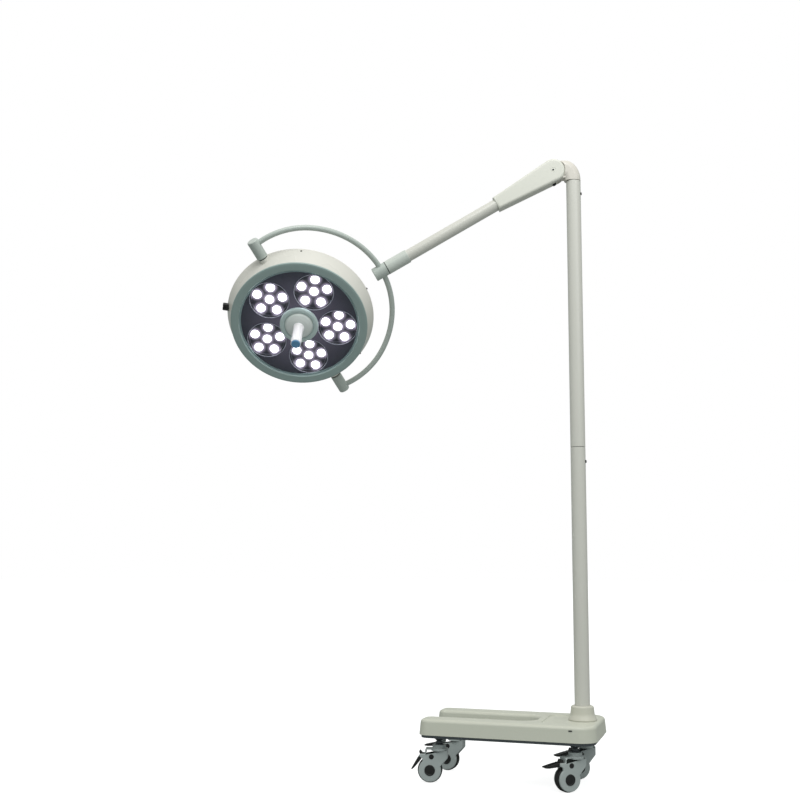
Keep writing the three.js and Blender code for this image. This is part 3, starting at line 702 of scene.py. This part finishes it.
def arm_cover():
    """Moulded cover over the arm's root: two cheeks round the pivot and a tapered body."""
    a = ARM
    end, half = a["tube"] + 2.6, a["width"] / 2
    outline = [Vector((a["cover_end"], end)), Vector((12, a["cheek"] - 1.2))]
    outline += arc(0, 0, a["cheek"], 74, 285, 40)
    outline += [Vector((a["cover_end"], -end))]
    body = prism(outline, -half, half, 8, 6)
    slot = a["barrel_width"] / 2 + 0.5
    room = moved(disc(a["barrel"] + 0.8, -slot, slot, 0.1, FINE), ALONG_Y)
    mouth = block(-60, 8, -slot, slot, -60, 80, 0.1, 0.1)
    seat = moved(disc(a["tube"] + 0.4, 140, 260, 0.1, MEDIUM), ALONG_X)
    dimple = joined(*(moved(disc(7.5, half - 0.9, half + 5, 0.3), ALONG_Y @ turn)
                      for turn in (Matrix(), FLIP)))
    build("arm_cover_shell", "arm", ARM_AT, cut(body, room, mouth, seat, dimple), arm_plastic,
          ["arm_cover"])
    place = ARM_AT @ ALONG_Y
    for name, turn in (("far", Matrix()), ("near", FLIP)):
        cap = turned((0, half - 3), (7.2, half - 3), (7.2, half - 0.3, 0.8), (3.2, half - 0.1, 0.3),
                     (3.2, half - 2), (0, half - 2), sides=SMALL)
        build("pivot_cap_" + name, "arm", place @ turn, cap, arm_plastic)
        socket = disc(3.0, half - 1.9, half - 0.1, 0.2)
        build("pivot_socket_" + name, "arm", place @ turn, socket, black_screw)
    screw = turned((0, -6), (4, -6), (4, 0), (6.4, 0, 1), (6.4, 5, 1.4), (2.6, 5), (2.6, 2.5), (0, 2.5),
                   sides=SMALL)
    lean = Matrix.Rotation(math.radians(177), 4, "Y")
    build("tension_screw", "arm", ARM_AT @ shift(17, 0, -36.5) @ lean, screw, black_screw)


def arm_parts():
    """Arm tube and the sleeve at its end, which stops short of the hub's washer."""
    a, washer_room = ARM, 2.4
    end = a["hub"] - YOKE["back"] - washer_room
    start = a["hub"] - YOKE["back"] - 0.8 - SLEEVE["length"]
    pipe = turned((a["tube"] - 2.4, 152), (a["tube"], 152, 0.6), (a["tube"], start + 40, 0.6),
                  (a["tube"] - 2.4, start + 40), closed=True, steps=3)
    build("arm_tube_pipe", "arm", ARM_AT @ ALONG_X, pipe, tube_paint, ["arm_tube"])
    s = SLEEVE["r"]
    sleeve = turned((a["tube"] + 0.1, start), (s, start, 1.6), (s, end, 0.8), (8.3, end), (8.3, end - 30),
                    (a["tube"] + 0.1, end - 30), sides=FINE, closed=True)
    build("arm_end_collar", "arm", ARM_AT @ ALONG_X, sleeve, sleeve_paint,
          ["arm_end_sleeve"])


# ---- yoke ---------------------------------------------------------------------------------
def yoke_parts():
    """Hub and shank, then for each end its half of the ring and its pivot block."""
    y, centre = YOKE, HEAD["at"] - YOKE["shift"]
    plug = y["front"] - 0.8
    hub = turned((0, -y["back"]), (y["hub"], -y["back"], 0.8), (y["hub"], y["front"], 2.2),
                 (y["hub"] - 6, y["front"]), (y["hub"] - 7, plug), (0, plug), sides=FINE)
    shank = disc(8, -y["back"] - 24, -y["back"] + 2)
    build("yoke_hub_body", "yoke", YOKE_AT @ ALONG_X, weld(hub, shank), yoke_shaded_paint,
          ["yoke_hub"])
    for name, side in (("upper", 1), ("lower", -1)):
        first = math.degrees(math.asin((y["hub"] - 3) / y["arc"]))
        last = 90 - math.degrees(math.asin((y["block"] - 6) / y["arc"]))
        line = []
        for k in range(49):
            t = math.radians(first + (last - first) * k / 48)
            flatter = max(0, (math.degrees(t) - y["straight_from"]) / (90 - y["straight_from"]))
            radius = y["arc"] - y["end_drop"] * flatter ** 2
            line.append((centre - radius * math.cos(t), 0, side * radius * math.sin(t)))
        build("yoke_arc_" + name, "yoke", YOKE_AT, sweep(line, y["tube"], SMALL), yoke_shaded_paint,
              ["yoke_" + name])
        turn = Matrix() if side > 0 else FLIP
        inner, outer, r = y["block_inner"], y["block_outer"], y["block"]
        body = turned((6.3, inner), (r, inner, 1.2), (r, outer, 3.5), (0, outer), (0, outer - 8),
                      (6.3, outer - 8), sides=MEDIUM)
        body = joined(body, bands([[Vector((p.x, p.y, z)) for p in circle(6.3, MEDIUM)]
                                   for z in (outer - 8, inner)]))
        build("pivot_block_" + name + "_body", "yoke", YOKE_AT @ shift(HEAD["at"], 0, 0) @ turn,
              body, yoke_shaded_paint, ["pivot_block_" + name])


def arm_seams():
    """Thin dark washers: between sleeve and hub, and round the hub's end plug."""
    y = YOKE
    low, high, r = -y["back"] - 2.2, -y["back"] - 0.1, SLEEVE["r"] - 0.3
    washer = turned((8.4, low), (r, low), (r, high), (8.4, high), sides=FINE, closed=True)
    build("hub_washer", "yoke", YOKE_AT @ ALONG_X, washer, seam_dark)
    ring = hoop(y["hub"] - 5.2, y["hub"] - 3.6, y["front"] - 0.5, y["front"] + 0.15, 0.1, FINE)
    build("hub_face_seam", "yoke", YOKE_AT @ ALONG_X, ring, seam_dark)


# ---- lamp head ----------------------------------------------------------------------------
def head_shell():
    """Spun dome with the side band, as one thin shell."""
    h = HEAD
    w = h["wall"]
    outside = [(0, h["back"]), (96, h["back"] + 2.5, 30), (168, h["back"] + 15, 60),
               (219, h["back"] + 34, 26), (h["rim"], h["rim_z"] - 3, 12), (h["lip"], h["lip_z"], 1.2)]
    inside = [(h["lip"] - w, h["lip_z"]), (h["rim"] - w - 2, h["rim_z"] - 2, 9), (216, h["back"] + 38, 20),
              (166, h["back"] + 19, 40), (0, h["back"] + 4)]
    profile = rounded(outside + inside, closed=False, steps=8)
    shell = lathe(profile, FINE)
    build("head_shell_dome", "head", HEAD_AT, shell, shell_paint, ["head_back_shell"])


def band_radius(z):
    """Radius of the head's side band at height z."""
    h = HEAD
    share = (z - h["rim_z"] + 3) / (h["lip_z"] - h["rim_z"] + 3)
    return h["rim"] + (h["lip"] - h["rim"]) * share


def head_front():
    """Bezel, glass, the mask behind it with a hole for each module, and the five modules."""
    h = HEAD
    seat = h["glass_z"] - 3.6
    bezel = turned((h["glass"] - 4, seat - 3), (h["lip"] - 4, seat - 3), (h["lip"] - 4, h["lip_z"] + 0.6),
                   (h["lip"], h["lip_z"] + 0.6, 0.5), (h["lip"], h["bezel_z"] - 1, 2.4),
                   (h["bezel"] - 4, h["bezel_z"], 3), (h["glass"] + 4, h["bezel_z"] - 0.2, 2),
                   (h["glass"] + 0.4, seat), (h["glass"] - 4, seat), sides=FINE, closed=True)
    build("front_bezel_ring", "head", HEAD_AT, bezel, bezel_plastic, ["front_bezel"])
    glass = hoop(h["ring"] - 2, h["glass"], seat + 0.3, h["glass_z"], 0.8, FINE)
    build("front_glass_pane", "head", HEAD_AT, glass, front_glass, ["front_glass"])
    centres = [(h["module_ring"] * math.cos(math.radians(h["module_phase"] + 72 * k)),
                h["module_ring"] * math.sin(math.radians(h["module_phase"] + 72 * k))) for k in range(5)]
    levels = []
    for z in (35.5, 38):
        loops = [circle(h["glass"] - 1, FINE), circle(48, MEDIUM)]
        loops += [circle(h["module"] + 4.2, MEDIUM, x, y) for x, y in centres]
        levels.append([[Vector((p.x, p.y, z)) for p in loop] for loop in loops])
    mask = joined(patch(*levels[0]), patch(*levels[1]), *(bands(list(pair)) for pair in zip(*levels)))
    build("front_mask_plate", "head", HEAD_AT, mask, mask_black)
    for k, (x, y) in enumerate(centres, 1):
        module(k, HEAD_AT @ shift(x, y, 0))


def module(number, place):
    """Round module: dark floor with a painted glow, six lit lenses in their cups, and a thin bright rim."""
    h, name = HEAD, f"lens_module_{number}"
    r = h["module"]
    body = turned((0, 20), (r, 20, 1), (r, 36, 0.8), (r - 2.5, 36, 0.8), (r - 5, 29.3), (0, 29.3),
                  sides=MEDIUM)
    build(name + "_floor", "head", place, body, led_floor_painted_glow, [name])
    ring = hoop(r + 2.2, r + 4, 34, 38.4, 0.6)
    build(name + "_rim", "head", place, ring, rim_bright)
    around = [math.radians(h["led_phase"] + 72 * k) for k in range(5)]
    spots = [at(h["led_ring"] * math.cos(a), h["led_ring"] * math.sin(a), 0) for a in around]
    dome = lathe([(0, 28), (h["led"], 28), (h["led"], 31)]
                 + [(h["led"] * math.cos(t), 31 + 4.5 * math.sin(t))
                    for t in (math.radians(15 * k) for k in range(1, 6))] + [(0, 35.5)], SMALL)
    build(name + "_lenses", "head", place, joined(*(moved(dome, m) for m in spots)), led_white)
    build(name + "_middle_lens", "head", place, dome, led_warm)


def head_centre():
    """Hub ring, dome, sterilisable handle and its blue cap."""
    h, r = HEAD, HEAD["handle"]
    ring = turned((46, 42), (h["ring"], 42), (h["ring"], 50.5, 2.6), (h["ring"] - 5, 53.5, 2),
                  (50, 53.5, 1.5), (47.5, 50), (46, 50), sides=FINE, closed=True)
    build("centre_ring_trim", "head", HEAD_AT, ring, mint_plastic, ["centre_ring"])
    dome = turned((0, 19.8), (29, 19.8), (29, 40), (45.6, 43), (45.6, 50, 2), (41.5, 57, 6), (30, 61.5, 6),
                  (20, 63, 3), (12, 63), (12, 82), (0, 82), sides=FINE)
    build("handle_socket_dome", "head", HEAD_AT, dome, dome_plastic, ["handle_socket"])
    grip = turned((12.4, 63.4), (r + 1.5, 63.4, 1), (r + 1.5, 69, 2), (r - 0.9, 75, 3), (r, 130, 20),
                  (r, h["tip"] - 5, 2), (14.4, h["tip"] - 5), (11, h["tip"] - 6), (11, h["tip"] - 14),
                  (0, h["tip"] - 14), (0, 82.4), (12.4, 82.4), sides=MEDIUM)
    grip = joined(grip, bands([[Vector((p.x, p.y, z)) for p in circle(12.4, MEDIUM)]
                               for z in (82.4, 63.4)]))
    build("handle_grip_sleeve", "handle", HEAD_AT, grip, white_plastic, ["handle_grip"])
    cap = turned((0, h["tip"] - 13.7), (10.7, h["tip"] - 13.7), (10.7, h["tip"] - 5.7),
                 (14, h["tip"] - 5.7, 0.6), (14, h["tip"] - 0.2, 2.4), (0, h["tip"] - 0.2), sides=MEDIUM)
    build("handle_cap_disc", "handle", HEAD_AT, cap, blue_plastic, ["handle_cap"])


def head_fittings():
    """Pivot pins with their bosses and washers, screws round the band, and the control knob."""
    h = HEAD
    for name, turn in (("upper", 90), ("lower", -90)):
        place = HEAD_AT @ Matrix.Rotation(math.radians(turn), 4, "X")
        pin = turned((0, 214), (9, 214), (9, 238.4, 0.4), (6, 238.4), (6, 299), (0, 299), sides=SMALL)
        build("pivot_pin_" + name + "_body", "head", place, pin, zinc_plate,
              ["pivot_pin_" + name])
        boss = hoop(9.3, 17, 228, 239.6, 1.2)
        build("pivot_boss_" + name, "head", place, boss, shell_paint)
        washer = hoop(6.4, 14.5, 239.9, 242.9, 0.4)
        build("pivot_washer_" + name, "head", place, washer, seam_dark)
    for angle, z in ((240, -8), (178, -18), (118, -8), (0, -18)):
        r = band_radius(z)
        screw = joined(disc(2.8, -4, 0.8), hoop(1.4, 2.8, 0.7, 1.3, 0.25, SMALL))
        place = HEAD_AT @ spin(angle) @ shift(r, 0, z) @ ALONG_X
        build(f"band_screw_{angle}", "head", place, screw, black_screw)
    knob_place = HEAD_AT @ shift(0, 0, -2) @ spin(h["knob_angle"]) @ shift(h["rim"], 0, 0)
    lobes = [moved(disc(7.2, -8, 12, 2, SMALL), at(0, y, 0) @ ALONG_X) for y in (-6, 6)]
    boss = moved(disc(9.5, -14, 1, 0.8, SMALL), ALONG_X)
    grip = weld(*lobes, boss)
    build("control_knob_grip", "knob", knob_place, grip, black_plastic, ["control_knob"])


# ---- casters ------------------------------------------------------------------------------
def caster_outline():
    c = CASTER
    top, z, x = c["top"], c["wheel_z"], -c["trail"]
    start = arc(x, z, c["disc"], 130, 380, 40)
    return (rounded([(26, top, 4), (-42, top, 3), (-42, 85, 2), (-59, 85, 2), (-59, 76, 3),
                     (-50, 72, 6), (start[0].x, start[0].y)], closed=False, steps=4)[1:-1]
            + start + rounded([(start[-1].x, start[-1].y), (26, 73, 6), (26, top, 4), (-42, top)],
                              closed=False, steps=5)[1:-1])


def housing_shape():
    """Twin plates joined over the wheel, open below and behind, with a round crown."""
    c = CASTER
    half, slot, x, z = c["plate"] / 2, c["slot"] / 2, -c["trail"], c["wheel_z"]
    body = prism(caster_outline(), -half, half, 2.4, 4)
    crown = turned((0, c["top"] - 6), (c["neck"] + 5, c["top"] - 6), (c["neck"] + 5, c["top"] + 1.5, 2),
                   (c["neck"], c["top"] + 3.5, 1.5), (c["neck"], c["neck_top"], 1.5), (6, c["neck_top"]),
                   (6, c["neck_top"] - 2), (0, c["neck_top"] - 2), sides=MEDIUM)
    wheel_room = moved(disc(c["wheel"] + 2.8, -slot, slot, 0.1, MEDIUM), at(x, 0, z) @ ALONG_Y)
    below = block(x - 40, x + 40, -slot, slot, -5, z, 0.1, 0.1)
    pedal_room = block(-80, -41, -slot, slot, z, c["top"] + 5, 0.1, 0.1)
    return weld(cut(body, wheel_room, below, pedal_room), crown)


def wheel_shape():
    """Tyre, turned about the axle."""
    c = CASTER
    w, r = c["wheel_width"] / 2, c["wheel"]
    tyre = turned((r - 9, -w + 1, 1), (r - 3, -w, 2), (r, -w + 4, 4), (r, w - 4, 4), (r - 3, w, 2),
                  (r - 9, w - 1, 1), sides=FINE, closed=True)
    return moved(tyre, ALONG_Y)


def pedal_shape(wide):
    """Brake pedal's side outline round its pin, tip towards -X."""
    line = [(-52, 1.2, 1.4), (-52, -2.2, 1.4), (-40, -4.4, 10), (-18, -5.2, 6), (-3, -4.6, 3), (4.6, -2, 3),
            (5, 3, 3), (7.6, 12.5, 1.2), (3.2, 14.2, 1.2), (-1.5, 6.2, 3), (-18, 5.6, 8), (-34, 3.6, 10)]
    return prism(rounded(line, steps=4), -wide, wide, 1.4, 3)


def caster_parts():
    c = CASTER
    housing, wheel = housing_shape(), wheel_shape()
    hub = moved(joined(disc(26.5, -11, -8.5, 0.8, MEDIUM), disc(26.5, 8.5, 11, 0.8, MEDIUM),
                       hoop(6.5, 27, -9, 9, 0.4)), ALONG_Y)
    half, z, x = c["plate"] / 2, c["wheel_z"], -c["trail"]
    cap = turned((0, half + 0.2), (c["cap"], half + 0.2), (c["cap"], half + 1.4, 1), (12.5, half + 2.2, 1),
                 (11.5, half + 1.5, 0.5), (0, half + 2.1), sides=MEDIUM)
    shaft = disc(6, -half - 0.2, half + 0.2, 0.1)
    cap_pair = joined(shaft, cap, moved(cap, FLIP))
    small = turned((0, half - 0.5), (c["small_cap"], half - 0.5), (c["small_cap"], half + 1, 0.8),
                   (0, half + 1.4), sides=SMALL)
    small_pair = joined(small, moved(small, FLIP))
    top = CHASSIS["bottom"] - 0.3
    stem = turned((0, 85), (5, 85), (5, 112.4), (12, 112.4, 0.5), (12, 115, 0.8), (8, 117, 1), (8, 122, 1),
                  (16.5, top - 4, 1), (16.5, top, 0.6), (0, top), sides=MEDIUM)
    nut = prism([Vector((11 * math.cos(math.radians(a)), 11 * math.sin(math.radians(a))))
                 for a in range(0, 360, 60)], 0, 4, 0.6, 2)
    nut = moved(nut, at(0, 0, 116.5) @ Matrix.Rotation(math.radians(90), 4, "X"))
    for name in CASTERS:
        place = caster_frame(name)
        fork, roller, brake = name + "_fork", name + "_roller", name + "_brake"
        build(name + "_twin_plate", fork, place, housing, caster_plastic,
              [name + "_housing"])
        axle = place @ shift(x, 0, z)
        build(name + "_tyre", roller, axle, wheel, tyre_rubber, [name + "_wheel"])
        build(name + "_hub", roller, axle, hub, caster_plastic)
        build(name + "_axle_caps", fork, axle @ ALONG_Y, cap_pair, black_plastic,
              [name + "_axle"])
        build(name + "_pin_caps", fork, place @ shift(x + 5, 0, z + 39.5) @ ALONG_Y, small_pair,
              black_plastic)
        build(name + "_stem_body", "base", place, joined(stem, nut), chassis_steel,
              [name + "_stem"])
        pin = place.inverted() @ spot(name + "_pedal_press")
        pressed = JOINTS[name + "_pedal_press"]["range_deg"][0] < 0
        turn = Matrix.Rotation(math.radians(-c["pressed"] if pressed else -c["raised"]), 4, "Y")
        place_pedal = place @ Matrix.Translation((pin.x, 0, pin.z)) @ turn
        wide = c["slot"] / 2 - 1.2
        pedal = joined(pedal_shape(wide), moved(disc(3, -half + 0.3, half - 0.3, 0.3), ALONG_Y))
        build(name + "_pedal_lever", brake, place_pedal, pedal, black_plastic,
              [name + "_pedal"])


# ---- what stays as packed -----------------------------------------------------------------
def inner_parts():
    """Hidden CAD pieces keep their shape and get the finish of their slot."""
    kept = {
        "pole_socket": chassis_steel, "counterweight": ballast_iron, "power_supply": zinc_plate,
        "arm_pivot_pin": zinc_plate, "balance_spring": spring_steel, "led_plate": heat_sink,
    }
    for node, material in kept.items():
        for material_slot in frame["nodes"][node].material_slots:
            material_slot.material = material


# ---- light, floor and camera --------------------------------------------------------------
FLOOR_GLOW = 0.88   # lifts the floor to the white of the background, as the camera sees it
FLOOR_RADIUS = 30   # metres
FLOOR_SIDES = 96
CAMERA_PLACE = Vector((0.5156, -3.4561, 0.6720))   # metres from the foot of the pole
CAMERA_HEADING, CAMERA_PITCH, CAMERA_ROLL = 17.63, 8.05, 0.30   # degrees


def stage():
    """White studio: a pale floor, a room that is bright above and dark below, a white background."""
    floor = bpy.data.meshes.new("floor")
    floor.from_pydata([(p.x, p.y, 0) for p in circle(FLOOR_RADIUS, FLOOR_SIDES)], [],
                      [list(range(FLOOR_SIDES))])
    obj = bpy.data.objects.new("floor", floor)
    bpy.context.scene.collection.objects.link(obj)
    tree = Tree("floor_pale")
    tint = tree.mixed(tree.spread(tree.noise(1.5, 2), 0, 1), (0.33, 0.35, 0.35, 1), (0.35, 0.37, 0.37, 1))
    tree.link(tint, tree.shader.inputs["Base Color"])
    tree.shader.inputs["Roughness"].default_value = 0.9
    tree.shader.inputs["Specular IOR Level"].default_value = 0.0
    tree.shader.inputs["Emission Color"].default_value = (1, 1, 1, 1)
    ray = tree.nodes.new("ShaderNodeLightPath")
    tree.link(tree.maths("MULTIPLY", ray.outputs["Is Camera Ray"], FLOOR_GLOW),
              tree.shader.inputs["Emission Strength"])
    tree.material.cycles.emission_sampling = "NONE"
    floor.materials.append(tree.material)

    world = bpy.data.worlds.new("studio")
    world.use_nodes = True
    bpy.context.scene.world = world
    nodes, links = world.node_tree.nodes, world.node_tree.links
    room = nodes["Background"]
    room.inputs["Strength"].default_value = 1.0
    coords = nodes.new("ShaderNodeTexCoord")
    split = nodes.new("ShaderNodeSeparateXYZ")
    links.new(coords.outputs["Generated"], split.inputs["Vector"])
    ramp = nodes.new("ShaderNodeValToRGB")
    ramp.color_ramp.elements[0].position = 0.0
    ramp.color_ramp.elements[0].color = (0.24, 0.29, 0.285, 1)
    ramp.color_ramp.elements[1].position = 0.9
    ramp.color_ramp.elements[1].color = (0.84, 0.82, 0.79, 1)
    links.new(split.outputs["Z"], ramp.inputs["Fac"])
    links.new(ramp.outputs["Color"], room.inputs["Color"])
    plain = nodes.new("ShaderNodeBackground")
    plain.inputs["Color"].default_value = (1, 1, 1, 1)
    path = nodes.new("ShaderNodeLightPath")
    mix = nodes.new("ShaderNodeMixShader")
    links.new(path.outputs["Is Camera Ray"], mix.inputs["Fac"])
    links.new(room.outputs["Background"], mix.inputs[1])
    links.new(plain.outputs["Background"], mix.inputs[2])
    links.new(mix.outputs["Shader"], nodes["World Output"].inputs["Surface"])
    bpy.context.scene.view_settings.view_transform = "Standard"


def soft_light(name, place, target, size, power):
    """Square area light at place, facing target."""
    data = bpy.data.lights.new(name, "AREA")
    data.shape, data.size, data.energy = "SQUARE", size, power
    obj = bpy.data.objects.new(name, data)
    obj.location = place
    obj.rotation_euler = (Vector(target) - Vector(place)).to_track_quat("-Z", "Y").to_euler()
    bpy.context.scene.collection.objects.link(obj)


def camera():
    """Stands 3.5 m in front of the pole, 0.67 m up, looking a little upwards."""
    heading, pitch, roll = (math.radians(a) for a in (CAMERA_HEADING, CAMERA_PITCH, CAMERA_ROLL))
    level = Vector((-math.sin(heading), math.cos(heading), 0))
    ahead = level * math.cos(pitch) + UP * math.sin(pitch)
    right = ahead.cross(UP).normalized()
    up = right.cross(ahead)
    leaning = up * math.cos(roll) - right * math.sin(roll)
    data = bpy.data.cameras.new("camera")
    data.lens, data.sensor_width = 50, 36
    obj = bpy.data.objects.new("camera", data)
    across = ahead.cross(leaning).normalized()
    place = Matrix((across, leaning, -ahead)).transposed().to_4x4()
    place.translation = Vector((foot.x, foot.y, 0)) + CAMERA_PLACE
    obj.matrix_world = place
    bpy.context.scene.collection.objects.link(obj)
    bpy.context.scene.camera = obj


camera()
base_cover()
base_parts()
pole_parts()
elbow_part()
arm_cover()
arm_parts()
yoke_parts()
arm_seams()
head_shell()
head_front()
head_centre()
head_fittings()
caster_parts()
inner_parts()
stage()
soft_light("key", (0.7, -2.0, 3.9), (-0.3, 0, 1.7), 2.0, 62)
soft_light("fill", (2.6, -1.8, 2.4), (0.4, 0, 1.2), 1.6, 16)
